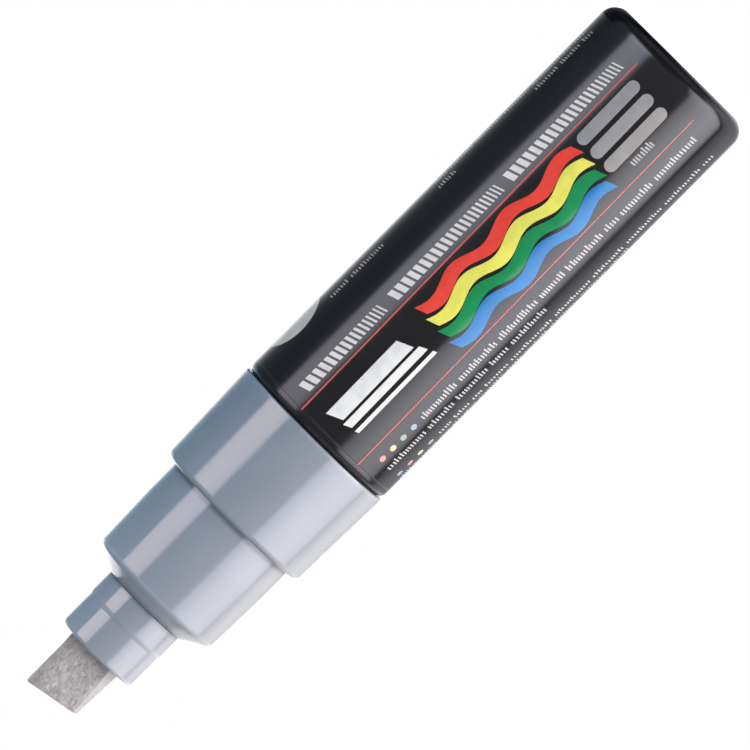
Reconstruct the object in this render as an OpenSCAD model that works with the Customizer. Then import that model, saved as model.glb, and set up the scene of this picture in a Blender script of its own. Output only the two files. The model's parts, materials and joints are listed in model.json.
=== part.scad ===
// Paint marker with a broad chisel nib, standing on its closed end.
// Z runs along the axis towards the nib; the origin is the centre of the closed end's flat face.

/* [Barrel] */
// Outside diameter of the barrel
barrel_d = 24; // [22:0.5:30]
// Length of the barrel
barrel_l = 67.1; // [60:0.1:100]
// Wall of the barrel
barrel_wall = 1.3; // [0.9:0.1:1.8]
// Thickness of the closed end
barrel_floor = 1.8; // [1.2:0.1:3]
// Rounding of the closed end's edge
tail_round = 2.4; // [1:0.1:4]
// Rounding of the open end's outer edge
mouth_round = 1; // [0.3:0.1:1.5]

/* [Label film] */
// Thickness of the film, which lies in a recess of the same depth
film_t = 0.12; // [0.05:0.01:0.25]
// Bare barrel between the tail rounding and the film
film_tail_gap = 1.4; // [0.5:0.1:6]
// Bare barrel between the film and the mouth rounding
film_mouth_gap = 0.5; // [0.1:0.1:6]

/* [Front section] */
// Length of the collar that shows ahead of the barrel
collar_l = 15.2; // [8:0.1:25]
// How far the collar's rear edge stands out beyond the barrel
collar_stand = 0.1; // [0:0.05:0.3]
// Fall of the collar's radius from its rear edge to its front edge
collar_draft = 0.42; // [0.06:0.02:0.8]
// Rounding of the collar's front edge
collar_round = 0.8; // [0.2:0.1:1.2]
// Rounding of the collar's rear edge
collar_rear_round = 0.25; // [0.1:0.05:0.6]
// Diameter of the land that a cap seals on
seat_d = 20.2; // [19:0.1:21.5]
// Length of that land
seat_land_l = 5; // [3:0.5:8]
// Length of the cap seat, land included
seat_l = 14; // [11:0.1:20]
// Fall of the seat's radius ahead of the land
seat_draft = 0.26; // [0.02:0.02:0.5]
// Rounding of the seat's front edge
seat_round = 1; // [0.3:0.1:1.2]
// Length of the conical shoulder
shoulder_l = 1.85; // [1:0.05:6]
// Diameter of the nose's front face
nose_d = 13.3; // [13:0.1:16]
// Length of the plug inside the barrel
plug_l = 12; // [10:0.5:20]
// Chamfer that leads the plug into the barrel
plug_lead = 0.5; // [0.2:0.1:0.8]

/* [Snap bead and seal ring] */
// Height of the bead that locks the plug in the barrel
bead_h = 0.14; // [0.05:0.01:0.25]
// Width of that bead
bead_w = 1.2; // [0.6:0.1:2]
// Distance of the bead behind the collar
bead_set = 2.5; // [1.5:0.1:3.5]
// Thickness of the seal ring's cord
seal_cord = 1.2; // [0.8:0.1:1.6]
// Distance of the seal ring behind the collar
seal_set = 6.5; // [5.5:0.1:8.5]

/* [Nib holder] */
// Diameter of the rear ring
holder_d = 12.3; // [11.6:0.1:13]
// Length of the rear ring
holder_ring_l = 3.45; // [2:0.05:6]
// Step down in radius from the rear ring to the front ring
holder_step = 0.12; // [0.05:0.01:0.3]
// Length over which that step slants
holder_step_l = 0.6; // [0.3:0.05:1]
// Rounding of that step's edge
holder_step_round = 1; // [0.2:0.1:2]
// Length of the two rings together
holder_l = 9.1; // [7:0.1:14]
// Rounding of the holder's front edge
holder_round = 0.5; // [0.2:0.05:1]
// Rounding of the holder's rear edge
holder_rear_round = 0.3; // [0.1:0.05:0.5]
// Diameter of the spigot inside the nose
spigot_d = 11; // [10.6:0.1:11.4]
// Length of that spigot
spigot_l = 7; // [4:0.5:9]

/* [Nib] */
// Width of the nib's tang
nib_w = 7.2; // [6:0.1:7.6]
// Thickness of the nib's tang
nib_t = 5.2; // [4:0.1:5.6]
// Length of the nib that stands out of the holder, to its long corner
nib_out = 8.95; // [6:0.05:14]
// How far the short corner lies behind the long one
nib_slant = 1.5; // [0.1:0.05:3]
// Widening of the nib towards the long corner
nib_flare = 0.4; // [0:0.05:1]
// How far the writing face falls back at the tip
nib_face_drop = 2.2; // [0.2:0.1:2.4]
// How far the nib's back falls in at the tip
nib_back_drop = 1.7; // [0.2:0.1:1.9]
// Turn of the nib about the axis
nib_turn = 14; // [-45:1:45]

/* [Valve] */
// How far the nib presses in
stroke = 2; // [1:0.1:3]
// Outside diameter of the valve body
valve_d = 15; // [14:0.1:16]
// Length of the valve body
valve_l = 24; // [22:0.5:28]
// Wall round the spring chamber
valve_wall = 1.5; // [1:0.1:2]
// Length of the front chamber that the nib carrier moves in
chamber_l = 10; // [9:0.1:12]
// Diameter of the front chamber
chamber_d = 11; // [10.4:0.1:12]
// Thickness of the partition between the two chambers
partition_t = 2.5; // [1.5:0.1:3.5]
// Diameter of the port through the partition
port_d = 6; // [5:0.1:6.5]
// Thickness of the gasket
gasket_t = 1.2; // [0.8:0.1:2]
// Diameter of the valve head
head_d = 9; // [8:0.1:10]
// Thickness of the valve head
head_t = 2; // [1.2:0.1:3]
// Diameter of the stem in the port
stem_d = 4; // [2.5:0.1:4.4]
// Diameter of the guide pin behind the head
guide_d = 2.6; // [1.6:0.1:3.2]
// Length of the guide pin that shows behind the spring cup
guide_out = 3; // [1:0.5:4]
// Height of the nib carrier
carrier_l = 3.5; // [3:0.1:4.5]
// Depth of the pocket that holds the nib
pocket_l = 2; // [1:0.1:2.2]
// Number of flow grooves down the carrier's side
carrier_grooves = 6; // [3:1:8]
// Diameter of those grooves
carrier_groove_d = 0.8; // [0.4:0.1:1]

/* [Spring and cup] */
// Thickness of the spring's wire
wire_d = 0.7; // [0.4:0.05:0.8]
// Diameter of the spring at the middle of its wire
spring_d = 5.8; // [5:0.1:6.4]
// Number of turns in the spring
spring_turns = 5.5; // [3:0.5:6]
// Thickness of the cup's flange, which the spring stands on
cup_flange_t = 1.5; // [1:0.1:2.5]
// Length of the cup's sleeve inside the valve body
cup_sleeve_l = 3; // [1.5:0.1:4]
// Wall of that sleeve
cup_wall = 0.9; // [0.6:0.1:1.2]
// Number of paint ports through the flange
cup_ports = 8; // [4:1:10]

/* [Mixing ball] */
// Diameter of the ball
ball_d = 7; // [5:0.5:9]

/* [Clearances] */
// Radial gap between pieces that are pushed together for good
fit_gap = 0.03; // [0.01:0.01:0.1]
// Gap on each side of the nib in the holder
nib_gap = 0.15; // [0.1:0.05:0.3]
// Radial gap of the guide pin in the spring cup
guide_gap = 0.08; // [0.03:0.01:0.1]
// Radial gap of the nib carrier in its chamber
carrier_gap = 0.4; // [0.3:0.05:0.6]
// Room left under the nib carrier at full stroke
carrier_room = 1.5; // [0.5:0.1:2]
// Gap at each end of the spring, and under the ball at rest
rest_gap = 0.05; // [0.02:0.01:0.1]

/* [Hidden] */
$fn = 96;
// Rings on each turn of the spring, and sides of its wire
spring_rings = 8;
spring_sides = 6;
// Least bare wall left beside the mouth's rounding
mouth_land = 0.1;
// Length by which a cut runs past the faces it goes through
past = 1;

// Radii
barrel_r = barrel_d / 2;
bore_r = barrel_r - barrel_wall;
plug_r = bore_r - fit_gap;
groove_r = bore_r - seal_cord - fit_gap;
collar_r = barrel_r + collar_stand;
collar_front_r = collar_r - collar_draft;
seat_r = seat_d / 2;
seat_front_r = seat_r - seat_draft;
nose_r = nose_d / 2;
holder_r = holder_d / 2;
holder_front_r = holder_r - holder_step;
spigot_r = spigot_d / 2;
nose_bore_r = spigot_r + fit_gap;
valve_r = valve_d / 2;
valve_bore_r = valve_r + fit_gap;
spring_chamber_r = valve_r - valve_wall;
sleeve_r = spring_chamber_r - fit_gap;
sleeve_bore_r = sleeve_r - cup_wall;
carrier_r = chamber_d / 2 - carrier_gap;
spring_r = spring_d / 2;
ball_r = ball_d / 2;

// Heights along the axis
film_z0 = tail_round + film_tail_gap;
mouth_r = min(mouth_round, barrel_wall - mouth_land);
film_z1 = barrel_l - mouth_r - film_mouth_gap;
collar_z = barrel_l;
plug_z = collar_z - plug_l;
seat_z = collar_z + collar_l;
shoulder_z = seat_z + seat_l;
nose_z = shoulder_z + shoulder_l;
holder_step_z = nose_z + holder_ring_l;
holder_front_z = nose_z + holder_l;
tip_z = holder_front_z + nib_out;
flare_z = holder_front_z + stroke;
valve_front_z = nose_z - spigot_l;
valve_rear_z = valve_front_z - valve_l;
chamber_z = valve_front_z - chamber_l;
partition_z = chamber_z - partition_t;
gasket_z = partition_z - gasket_t;
head_z = gasket_z - head_t;
cup_z = valve_rear_z - cup_flange_t;
guide_z = cup_z - guide_out;
carrier_z = chamber_z + carrier_room + stroke;
pocket_z = carrier_z + carrier_l - pocket_l;

// The flow ports lie between the spring and the cup's sleeve
port_room = sleeve_bore_r - spring_r - wire_d / 2;
port_rim = 0.15;
cup_port_r = port_room / 2 - port_rim;
cup_port_ring_r = sleeve_bore_r - port_room / 2;

// The middle line of the spring's wire
spring_z0 = valve_rear_z + wire_d / 2 + rest_gap;
spring_rise = head_z - wire_d / 2 - rest_gap - spring_z0;
spring_steps = spring_turns * spring_rings;
spring_line = [for (i = [0:spring_steps]) let (turn = i / spring_rings)
    [spring_r * cos(360 * turn), spring_r * sin(360 * turn), spring_z0 + spring_rise * i / spring_steps]];
spring_least_gap = min([for (i = [0:spring_steps]) for (j = [i + spring_rings / 2:1:spring_steps])
    norm(spring_line[i] - spring_line[j])]) - wire_d;
echo(spring_least_gap_mm = spring_least_gap);

// Colours
tank_black = "#22262a";
film_black = "#1c1f23";
moulding_grey = "#8a93a0";
felt_grey = "#a5a0a3";
valve_white = "#e6e4dc";
rubber_black = "#2b2b2b";
spring_steel = "#b9bcc0";
ball_steel = "#c9cccf";

function unit(v) = v / norm(v);

// Tangent point, centre and tangent point of a rounding of radius r at corner p between a and b
function rounding(a, p, b, r) =
    let (u = unit(a - p), v = unit(b - p), half = acos(u * v) / 2)
    [p + u * r / tan(half), p + unit(u + v) * r / sin(half), p + v * r / tan(half)];

// Outline through the points, with each [corner, radius] of rounds rounded by a true arc
module rounded_outline(points, rounds) {
    count = len(points);
    difference() {
        polygon(points);
        for (k = rounds) {
            i = k[0];
            arc = rounding(points[(i + count - 1) % count], points[i], points[(i + 1) % count], k[1]);
            beyond = points[i] + (points[i] - arc[1]) / 2;
            difference() {
                polygon([arc[0], beyond, arc[2], arc[1]]);
                translate(arc[1]) circle(k[1]);
            }
        }
    }
}

// Ring with a square section
module ring(outer_r, inner_r, z0, z1) {
    rotate_extrude() translate([inner_r, z0]) square([outer_r - inner_r, z1 - z0]);
}

// Upright bar with the section of the nib's tang, grown by gap on each side
module tang_bar(z0, z1, gap) {
    rotate([0, 0, nib_turn]) translate([0, 0, z0]) linear_extrude(z1 - z0)
        square([nib_w + 2 * gap, nib_t + 2 * gap], center = true);
}

module barrel() color(tank_black) rotate_extrude() rounded_outline([
    [0, 0],
    [barrel_r, 0],
    [barrel_r, film_z0],
    [barrel_r - film_t, film_z0],
    [barrel_r - film_t, film_z1],
    [barrel_r, film_z1],
    [barrel_r, barrel_l],
    [bore_r, barrel_l],
    [bore_r, barrel_l - bead_set + bead_w / 2],
    [bore_r + bead_h, barrel_l - bead_set],
    [bore_r, barrel_l - bead_set - bead_w / 2],
    [bore_r, barrel_floor],
    [0, barrel_floor],
], [[1, tail_round], [6, mouth_r]]);

module label_film() color(film_black) ring(barrel_r, barrel_r - film_t, film_z0, film_z1);

module front_section() color(moulding_grey) rotate_extrude() rounded_outline([
    [valve_bore_r, plug_z],
    [plug_r - plug_lead, plug_z],
    [plug_r, plug_z + plug_lead],
    [plug_r, collar_z - seal_set - seal_cord / 2 - fit_gap],
    [groove_r, collar_z - seal_set - seal_cord / 2 - fit_gap],
    [groove_r, collar_z - seal_set + seal_cord / 2 + fit_gap],
    [plug_r, collar_z - seal_set + seal_cord / 2 + fit_gap],
    [plug_r, collar_z - bead_set - bead_w / 2],
    [plug_r + bead_h, collar_z - bead_set],
    [plug_r, collar_z - bead_set + bead_w / 2],
    [plug_r, collar_z],
    [collar_r, collar_z],
    [collar_front_r, seat_z],
    [seat_r, seat_z],
    [seat_r, seat_z + seat_land_l],
    [seat_front_r, shoulder_z],
    [nose_r, nose_z],
    [nose_bore_r, nose_z],
    [nose_bore_r, valve_front_z],
    [valve_bore_r, valve_front_z],
], [[11, collar_rear_round], [12, collar_round], [15, seat_round]]);

module barrel_seal() color(rubber_black) rotate_extrude()
    translate([bore_r - seal_cord / 2 - fit_gap / 2, collar_z - seal_set]) circle(d = seal_cord);

module nib_holder() color(moulding_grey) difference() {
    rotate_extrude() rounded_outline([
        [0, valve_front_z],
        [spigot_r, valve_front_z],
        [spigot_r, nose_z],
        [holder_r, nose_z],
        [holder_r, holder_step_z],
        [holder_front_r, holder_step_z + holder_step_l],
        [holder_front_r, holder_front_z],
        [0, holder_front_z],
    ], [
        [3, holder_rear_round],
        [4, holder_step_round],
        [6, holder_round],
    ]);
    tang_bar(valve_front_z - past, holder_front_z + past, nib_gap);
}

// The nib seen on its writing face: it widens to its long corner and is cut slanting
module nib_face() {
    polygon([
        [-nib_w / 2, pocket_z],
        [nib_w / 2, pocket_z],
        [nib_w / 2, flare_z],
        [nib_w / 2 + nib_flare, tip_z],
        [-nib_w / 2, tip_z - nib_slant],
    ]);
}

// The nib seen on its edge: it thins towards the tip
module nib_side() {
    polygon([
        [-nib_t / 2, pocket_z],
        [nib_t / 2, pocket_z],
        [nib_t / 2, holder_front_z],
        [nib_t / 2 - nib_back_drop, tip_z],
        [-nib_t / 2 + nib_face_drop, tip_z],
        [-nib_t / 2, holder_front_z],
    ]);
}

module nib() color(felt_grey) rotate([0, 0, nib_turn]) intersection() {
    rotate([90, 0, 0]) linear_extrude(nib_t, center = true) nib_face();
    rotate([90, 0, 90]) linear_extrude(2 * (nib_w + nib_flare), center = true) nib_side();
}

module valve_body() color(valve_white) rotate_extrude() polygon([
    [spring_chamber_r, valve_rear_z],
    [valve_r, valve_rear_z],
    [valve_r, valve_front_z],
    [chamber_d / 2, valve_front_z],
    [chamber_d / 2, chamber_z],
    [port_d / 2, chamber_z],
    [port_d / 2, partition_z],
    [spring_chamber_r, partition_z],
]);

module valve_gasket() color(rubber_black) ring(spring_chamber_r - fit_gap, port_d / 2, gasket_z, partition_z);

module valve_stem() color(valve_white) difference() {
    rotate_extrude() polygon([
        [0, guide_z],
        [guide_d / 2, guide_z],
        [guide_d / 2, head_z],
        [head_d / 2, head_z],
        [head_d / 2, gasket_z],
        [stem_d / 2, gasket_z],
        [stem_d / 2, carrier_z],
        [carrier_r, carrier_z],
        [carrier_r, carrier_z + carrier_l],
        [0, carrier_z + carrier_l],
    ]);
    tang_bar(pocket_z, carrier_z + carrier_l + past, fit_gap);
    for (i = [0:carrier_grooves - 1]) rotate([0, 0, nib_turn + 360 * i / carrier_grooves])
        translate([carrier_r, 0, carrier_z - past]) cylinder(d = carrier_groove_d, h = carrier_l + 2 * past);
}

// Wire swept along the spring's middle line, with a flat end at each end
module valve_spring() color(spring_steel) {
    last = spring_steps;
    tangent = [for (i = [0:last]) unit(spring_line[min(i + 1, last)] - spring_line[max(i - 1, 0)])];
    points = [for (i = [0:last]) let (out = unit([spring_line[i].x, spring_line[i].y, 0]), up = cross(tangent[i], out))
        for (k = [0:spring_sides - 1]) let (a = 360 * k / spring_sides)
            spring_line[i] + wire_d / 2 * (out * cos(a) - up * sin(a))];
    sides = [for (i = [0:last - 1]) for (k = [0:spring_sides - 1])
        let (a = i * spring_sides + k, b = i * spring_sides + (k + 1) % spring_sides)
        each [[a, b, b + spring_sides], [a, b + spring_sides, a + spring_sides]]];
    first_end = [for (k = [1:spring_sides - 2]) [0, k + 1, k]];
    last_end = [for (k = [1:spring_sides - 2]) [0, k, k + 1] + last * spring_sides * [1, 1, 1]];
    polyhedron(points, concat(sides, first_end, last_end));
}

module spring_cup() color(valve_white) difference() {
    union() {
        ring(valve_r, guide_d / 2 + guide_gap, cup_z, valve_rear_z);
        ring(sleeve_r, sleeve_bore_r, valve_rear_z, valve_rear_z + cup_sleeve_l);
    }
    for (i = [0:cup_ports - 1]) rotate([0, 0, 360 * i / cup_ports])
        translate([cup_port_ring_r, 0, cup_z - past]) cylinder(r = cup_port_r, h = cup_flange_t + 2 * past);
}

module mixing_ball() color(ball_steel) translate([0, 0, barrel_floor + rest_gap + ball_r]) sphere(ball_r);

barrel();
label_film();
front_section();
barrel_seal();
nib_holder();
nib();
valve_body();
valve_gasket();
valve_stem();
valve_spring();
spring_cup();
mixing_ball();
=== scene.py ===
import json
import math
import random

import bmesh
import bpy
from bpy.props import FloatProperty, FloatVectorProperty, IntProperty, PointerProperty
from mathutils import Matrix, Vector, noise


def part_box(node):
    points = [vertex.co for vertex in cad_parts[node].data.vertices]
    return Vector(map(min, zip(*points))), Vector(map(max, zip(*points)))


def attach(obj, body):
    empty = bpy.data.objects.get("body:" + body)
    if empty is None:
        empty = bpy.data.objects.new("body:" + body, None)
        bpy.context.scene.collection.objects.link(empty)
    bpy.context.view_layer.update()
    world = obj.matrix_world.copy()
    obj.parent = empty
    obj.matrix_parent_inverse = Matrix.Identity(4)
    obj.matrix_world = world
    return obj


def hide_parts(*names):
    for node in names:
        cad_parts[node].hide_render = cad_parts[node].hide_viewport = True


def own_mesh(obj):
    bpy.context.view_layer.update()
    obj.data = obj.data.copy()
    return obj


bl_info = {
    "name": "Paint marker",
    "version": (1, 0, 0),
    "blender": (4, 5, 0),
    "location": "3D View > Sidebar > Marker",
    "description": "Dresses a packed paint marker: mouldings, printed film, felt nib, valve and studio",
    "category": "Object",
}

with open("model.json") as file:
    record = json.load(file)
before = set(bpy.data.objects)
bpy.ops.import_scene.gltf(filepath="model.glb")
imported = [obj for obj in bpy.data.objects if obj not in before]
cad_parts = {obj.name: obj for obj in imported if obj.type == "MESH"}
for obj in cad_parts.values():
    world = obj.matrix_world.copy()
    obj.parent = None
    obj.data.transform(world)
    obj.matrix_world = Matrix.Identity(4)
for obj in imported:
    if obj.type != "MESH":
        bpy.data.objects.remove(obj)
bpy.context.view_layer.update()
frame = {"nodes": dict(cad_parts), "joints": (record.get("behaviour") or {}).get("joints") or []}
MM = 0.001
SKIN_DEPTH = 0.0000012
PLATE_SUNK = 0.00003
# Painted shade: tone of the felt on the side that the key light falls on
KEY_SIDE_SHADE_TONE = (0.475, 0.593, 0.69)

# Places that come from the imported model
FILM_LOW, FILM_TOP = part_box("label_film")
FRONT_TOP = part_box("front_section")[1]
HOLDER_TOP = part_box("nib_holder")[1]
NIB_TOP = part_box("nib")[1]
SPRING_LOW, SPRING_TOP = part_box("valve_spring")
FILM_R = FILM_TOP.x
PRESS = next(j for j in frame["joints"] if j["name"] == "nib_press")
PRESS_TRAVEL = max(PRESS["range_m"])

# Heights of the mouldings' worn edges, the nib's turn, the slope of its tip and how the print leans
COLLAR_REAR = 0.0674
COLLAR_FRONT = 0.0820
SEAT_FRONT = 0.0959
HOLDER_STEP = 0.1017
NIB_TURN = math.radians(14)
TIP_SLOPE = 0.2
PRINT_LEAN = -0.013


def from_8bit(red, green, blue):
    """Scene colour of an 8-bit screen colour"""
    def channel(value):
        share = value / 255
        return share / 12.92 if share <= 0.04045 else ((share + 0.055) / 1.055) ** 2.4
    return channel(red), channel(green), channel(blue)


def colour_property(name, description, shade):
    return FloatVectorProperty(
        name=name, description=description, default=shade, subtype="COLOR", size=3, min=0, max=1
    )


def length_property(name, description, size):
    return FloatProperty(
        name=name, description=description, default=size, min=0, max=0.1, unit="LENGTH", precision=5
    )


def light_property(name, description, level):
    return FloatProperty(name=name, description=description, default=level, min=0)


def place_property(name, description, spot):
    return FloatVectorProperty(
        name=name, description=description, default=spot, subtype="TRANSLATION", precision=5
    )


class MarkerFinish(bpy.types.PropertyGroup):
    """Colours of the marker's own materials"""
    barrel: colour_property("Barrel", "Glossy moulded barrel", (0.0055, 0.006, 0.0072))
    film: colour_property("Film", "Ground colour of the printed film", (0.005, 0.0055, 0.0066))
    moulding: colour_property("Moulding", "Front section and nib holder", from_8bit(132, 141, 156))
    felt: colour_property("Felt", "Felt soaked with paint", from_8bit(189, 180, 180))
    valve: colour_property("Valve", "Natural plastic of the valve", (0.79, 0.77, 0.71))
    rubber: colour_property("Rubber", "Seal ring and gasket", (0.03, 0.03, 0.03))
    wire: colour_property("Wire", "Drawn steel of the spring", (0.5, 0.51, 0.53))
    ball: colour_property("Ball", "Polished steel of the mixing ball", (0.6, 0.61, 0.63))


class MarkerPrint(bpy.types.PropertyGroup):
    """Inks and sizes of the print on the film"""
    white: colour_property("White ink", "Broad strokes", (0.76, 0.77, 0.8))
    gauge: colour_property("Gauge ink", "Line gauge", (0.72, 0.66, 0.62))
    pale: colour_property("Pale ink", "Rows of small strokes", (0.35, 0.37, 0.41))
    # Painted light: a lighter, warmer copy of the rows' ink for the side away from the key light
    far_pale: colour_property("Far pale ink", "Rows on the side away from the key", (0.5, 0.42, 0.37))
    chip: colour_property("Chip ink", "Colour chips, as the paint inside", from_8bit(151, 150, 154))
    disc: colour_property("Disc ink", "Plain disc on the side", (0.74, 0.66, 0.6))
    red: colour_property("Red ink", "Red wave", from_8bit(235, 62, 48))
    rule: colour_property("Rule ink", "The two long rules", from_8bit(202, 76, 74))
    yellow: colour_property("Yellow ink", "Yellow wave", from_8bit(225, 223, 95))
    green: colour_property("Green ink", "Green wave", from_8bit(2, 128, 74))
    blue: colour_property("Blue ink", "Blue wave", from_8bit(0, 110, 180))
    dot_strength: FloatProperty(
        name="Dot strength", description="Share of the wave's ink in its dots",
        default=0.35, subtype="FACTOR", min=0, max=1,
    )
    ink_height: length_property("Ink height", "How far the ink stands on the film", 0.000012)
    rule_width: length_property("Rule width", "Width of the two long rules", 0.00023)
    wave_width: length_property("Wave width", "Broad side of the pen that draws the waves", 0.0019)
    wave_swing: length_property("Wave swing", "Rise of the waves from their middle", 0.00062)
    wave_length: length_property("Wave length", "Length of one wave", 0.0096)
    chip_width: length_property("Chip width", "Width of a colour chip", 0.0018)
    stroke_width: length_property("Stroke width", "Thickness of the small strokes", 0.00022)
    disc_width: length_property("Disc width", "Diameter of the plain disc", 0.0089)


class MarkerNib(bpy.types.PropertyGroup):
    """Felt of the nib"""
    edge_round: length_property("Edge round", "Rounding of the nib's edges", 0.00022)
    grain: length_property("Grain", "Height of the felt's unevenness", 0.00004)
    cell: length_property("Cell", "Spacing of the felt mesh's points", 0.00014)
    fibre_length: length_property("Fibre length", "Longest loose fibre", 0.0013)
    fibre_width: length_property("Fibre width", "Thickest loose fibre", 0.00008)
    fibres: IntProperty(
        name="Fibres", description="Number of loose fibres, before those near the holder are dropped",
        default=1700, min=0, max=5000,
    )


class MarkerStudio(bpy.types.PropertyGroup):
    """Camera and light"""
    lens: FloatProperty(name="Lens", description="Focal length", default=483.4, unit="CAMERA")
    eye: place_property("Eye", "Place of the camera", (-0.000217, -1.3, 0.003))
    aim: place_property("Aim", "Point in the middle of the picture", (-0.000217, 0, 0.05623))
    roll: FloatProperty(
        name="Roll", description="Turn of the camera about its line of sight", unit="ROTATION",
        default=math.radians(224.83),
    )
    key_light: light_property("Key light", "Brightness of the broad lamp", 7.4)
    front_light: light_property("Front light", "Brightness of the lamp in front", 2.57)
    cool_light: light_property("Cool light", "Brightness of the lamp opposite the key", 1.05)
    back_light: light_property("Back light", "Brightness of the lamp behind, on the cool side", 0.8)
    rear_light: light_property("Rear light", "Brightness of the fill straight behind", 1.5)
    nib_light: light_property("Nib light", "Brightness of the small lamp beside the nib", 1.7)
    room_light: light_property("Room light", "Brightness of the room's own light", 0.03)
    tent_light: light_property("Tent light", "Brightness of the tent's brightest panel", 5.0)


# Short calls for node trees

def add(tree, kind, inputs=None, **options):
    """Adds a node, sets its options, and sets or links its inputs"""
    made = tree.nodes.new(kind)
    for name, value in options.items():
        setattr(made, name, value)
    for name, value in (inputs or {}).items():
        if isinstance(value, bpy.types.NodeSocket):
            tree.links.new(value, made.inputs[name])
        else:
            made.inputs[name].default_value = value
    return made


def calc(tree, operation, first, second=0.0, clamp=False):
    inputs = {0: first, 1: second}
    return add(tree, "ShaderNodeMath", inputs, operation=operation, use_clamp=clamp).outputs[0]


def times(tree, first, second):
    return calc(tree, "MULTIPLY", first, second)


def remap(tree, value, low, high, to_low=0.0, to_high=1.0, smooth=True):
    """Takes a value from one range to another, by default to the share of the range"""
    kind = "SMOOTHSTEP" if smooth else "LINEAR"
    inputs = {"Value": value, "From Min": low, "From Max": high, "To Min": to_low, "To Max": to_high}
    return add(tree, "ShaderNodeMapRange", inputs, interpolation_type=kind).outputs["Result"]


def blend(tree, share, first, second):
    """Colour between two, by a share that changes over the surface"""
    made = add(tree, "ShaderNodeMix", data_type="RGBA")
    for identifier, value in (("Factor_Float", share), ("A_Color", first), ("B_Color", second)):
        socket = next(s for s in made.inputs if s.identifier == identifier)
        if isinstance(value, bpy.types.NodeSocket):
            tree.links.new(value, socket)
        else:
            socket.default_value = (*value, 1.0)
    return next(s for s in made.outputs if s.identifier == "Result_Color")


def blend_values(tree, share, first, second):
    """Number between two, by a share that changes over the surface"""
    return add(tree, "ShaderNodeMix", {0: share, 2: first, 3: second}, data_type="FLOAT").outputs[0]


def noise_value(tree, vector, scale, detail=2.0, distortion=0.0):
    inputs = {"Vector": vector, "Scale": scale, "Detail": detail, "Distortion": distortion}
    return add(tree, "ShaderNodeTexNoise", inputs).outputs["Fac"]


def position(tree):
    return add(tree, "ShaderNodeTexCoord").outputs["Object"]


def place(tree, turn=(0, 0, 0), stretch=(1, 1, 1)):
    """Position on the object, turned and stretched"""
    inputs = {"Vector": position(tree), "Rotation": turn, "Scale": stretch}
    return add(tree, "ShaderNodeMapping", inputs).outputs["Vector"]


def scaled(colour, share):
    return tuple(min(1.0, c * share) for c in colour)


# Effects that several materials share

def new_group(name, inputs, output):
    """A node group with named numbers in and one named value out"""
    group = bpy.data.node_groups.new(name, "ShaderNodeTree")
    for label, default in inputs.items():
        socket = group.interface.new_socket(label, in_out="INPUT", socket_type="NodeSocketFloat")
        socket.default_value = default
    group.interface.new_socket(output, in_out="OUTPUT", socket_type="NodeSocketFloat")
    source = group.nodes.new("NodeGroupInput")
    sink = group.nodes.new("NodeGroupOutput")
    return group, source.outputs, sink.inputs[output]


def ring_band():
    """Mask of a band round the axis at a height"""
    inputs = {"Height": 0.05, "Half Width": 0.0002, "Fade": 0.0002}
    group, given, out = new_group("Ring band", inputs, "Mask")
    height = add(group, "ShaderNodeSeparateXYZ", {0: position(group)}).outputs["Z"]
    away = calc(group, "ABSOLUTE", calc(group, "SUBTRACT", height, given["Height"]))
    edge = calc(group, "ADD", given["Half Width"], given["Fade"])
    group.links.new(remap(group, away, given["Half Width"], edge, 1.0, 0.0), out)
    return group


def fine_scratches():
    """Mask of hairline scratches in two directions"""
    group, given, out = new_group("Fine scratches", {"Scale": 900.0, "Share": 0.06}, "Mask")
    lines = []
    for turn, stretch in (((0.2, 0.1, 0.0), (1, 1, 0.03)), ((0.9, 0.3, 0.5), (1, 1, 0.04))):
        value = noise_value(group, place(group, turn, stretch), given["Scale"], detail=1.0)
        low = calc(group, "SUBTRACT", 0.78, given["Share"])
        high = calc(group, "ADD", low, 0.04)
        lines.append(remap(group, value, low, high))
    group.links.new(calc(group, "MAXIMUM", lines[0], lines[1]), out)
    return group


def handling_marks():
    """Soft patches where hands have dulled or polished the surface"""
    group, given, out = new_group("Handling marks", {"Scale": 120.0, "Contrast": 0.2}, "Mask")
    value = noise_value(group, place(group), given["Scale"], detail=4.0, distortion=0.6)
    low = calc(group, "SUBTRACT", 0.5, given["Contrast"])
    high = calc(group, "ADD", 0.5, given["Contrast"])
    group.links.new(remap(group, value, low, high), out)
    return group


def dust_specks():
    """Mask of scattered small specks"""
    group, given, out = new_group("Dust specks", {"Scale": 700.0, "Size": 0.1, "Share": 0.12}, "Mask")
    cells = add(group, "ShaderNodeTexVoronoi", {"Vector": place(group), "Scale": given["Scale"]})
    near = remap(group, cells.outputs["Distance"], 0.0, given["Size"], 1.0, 0.0)
    pick = add(group, "ShaderNodeSeparateColor", {0: cells.outputs["Color"]}).outputs[0]
    chosen = calc(group, "LESS_THAN", pick, given["Share"])
    group.links.new(times(group, near, chosen), out)
    return group


def moulded_skin():
    """Height of the faint unevenness of a moulded surface"""
    group, given, out = new_group("Moulded skin", {"Scale": 420.0, "Fine": 0.35}, "Height")
    broad = noise_value(group, place(group), given["Scale"], detail=1.0)
    fine_scale = times(group, given["Scale"], 7.0)
    fine = noise_value(group, place(group), fine_scale, detail=2.0)
    group.links.new(calc(group, "ADD", broad, times(group, fine, given["Fine"])), out)
    return group


def cut_side_facing():
    """Mask of what faces the nib's cut side, where the key light falls and the felt gets painted shade to
    tone that light down
    """
    group, given, out = new_group("Cut side facing", {"From": 0.15, "To": 0.75}, "Mask")
    facing = add(group, "ShaderNodeNewGeometry").outputs["Normal"]
    side = (-math.cos(NIB_TURN), -math.sin(NIB_TURN), 0)
    both = add(group, "ShaderNodeVectorMath", {0: facing, 1: side}, operation="DOT_PRODUCT")
    group.links.new(remap(group, both.outputs["Value"], given["From"], given["To"]), out)
    return group


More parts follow.
